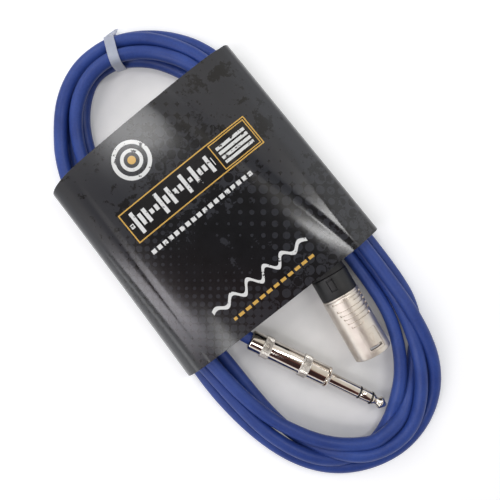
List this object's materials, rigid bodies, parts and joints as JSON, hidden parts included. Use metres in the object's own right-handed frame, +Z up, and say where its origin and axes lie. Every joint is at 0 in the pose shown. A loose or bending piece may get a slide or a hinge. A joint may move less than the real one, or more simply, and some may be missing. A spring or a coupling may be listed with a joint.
{
  "type": "packed balanced audio cable",
  "caption": "Blue balanced audio cable coiled for sale in a folded card sleeve, with a three-pin plug and a three-contact quarter-inch jack plug.",
  "frame": {"origin": "middle of the underside, on the floor that the packed cable lies on", "axes": "+Z up out of the card's front, +Y along the coil towards its tied end, +X across the card to the side with the fold"},
  "size_m": [0.114, 0.2518, 0.022],
  "materials": {
    "jacket": "satin blue jacket with moulded marks",
    "plug_nickel": "bright nickel plating",
    "shell_nickel": "satin nickel plating on cast metal",
    "black_insulator": "black moulded insulator",
    "black_plastic": "fine matte black moulding",
    "black_rubber": "soft black rubber",
    "brass": "plain brass",
    "liner_plastic": "thin pale insulating tube",
    "wire_red": "red wire insulation",
    "wire_white": "white wire insulation",
    "copper": "twisted bare copper",
    "card": "dark printed card with a slight sheen",
    "strap_plastic": "translucent white plastic"
  },
  "bodies": {
    "cable": {"cable_coil": "jacket", "jack_lead": "jacket", "xlr_lead": "jacket", "jack_tip": "plug_nickel", "jack_tip_insulator": "black_insulator", "jack_ring": "plug_nickel", "jack_ring_insulator": "black_insulator", "jack_sleeve": "plug_nickel", "jack_rear_washer": "black_insulator", "jack_lug_spacer": "black_insulator", "jack_ring_lug": "brass", "jack_tip_lug": "brass", "jack_cable_clamp": "brass", "jack_tip_wire": "wire_red", "jack_ring_wire": "wire_white", "jack_shield_wire": "copper", "xlr_shell": "shell_nickel", "xlr_insert": "black_plastic", "xlr_pin_1": "plug_nickel", "xlr_pin_2": "plug_nickel", "xlr_pin_3": "plug_nickel", "xlr_ground_contact": "brass", "xlr_shield_wire": "copper", "xlr_hot_wire": "wire_red", "xlr_cold_wire": "wire_white", "cable_tie": "strap_plastic"},
    "sleeve": {"card_sleeve": "card"},
    "jack_liner": {"jack_liner": "liner_plastic"},
    "jack_barrel": {"jack_barrel": "plug_nickel"},
    "xlr_chuck": {"xlr_chuck": "black_plastic"},
    "xlr_bushing": {"xlr_bushing": "black_plastic", "xlr_boot": "black_rubber"}
  },
  "joints": [
    {"name": "sleeve_slide", "type": "slide", "parent": "cable", "child": "sleeve", "axis": [0, 1, 0], "range_m": [-0.02, 0.02]},
    {"name": "jack_unscrew_travel", "type": "slide", "parent": "cable", "child": "jack_liner", "axis": [-0.4194, 0.9078, 0], "range_m": [0, 0.004]},
    {"name": "jack_unscrew", "type": "hinge", "parent": "jack_liner", "child": "jack_barrel", "pos_m": [-0.00765, -0.0738, 0.0065], "axis": [-0.4194, 0.9078, 0], "range_deg": [0, 1800]},
    {"name": "xlr_gland_travel", "type": "slide", "parent": "cable", "child": "xlr_chuck", "axis": [0.1633, 0.9866, 0], "range_m": [0, 0.005]},
    {"name": "xlr_gland_unscrew", "type": "hinge", "parent": "xlr_chuck", "child": "xlr_bushing", "pos_m": [0.01725, -0.0772, 0.0103], "axis": [0.1633, 0.9866, 0], "range_deg": [0, 1800]}
  ],
  "couplings": [
    {"joint": "jack_unscrew_travel", "follows": "jack_unscrew", "m_per_rad": 0.00012732},
    {"joint": "xlr_gland_travel", "follows": "xlr_gland_unscrew", "m_per_rad": 0.00015915}
  ]
}
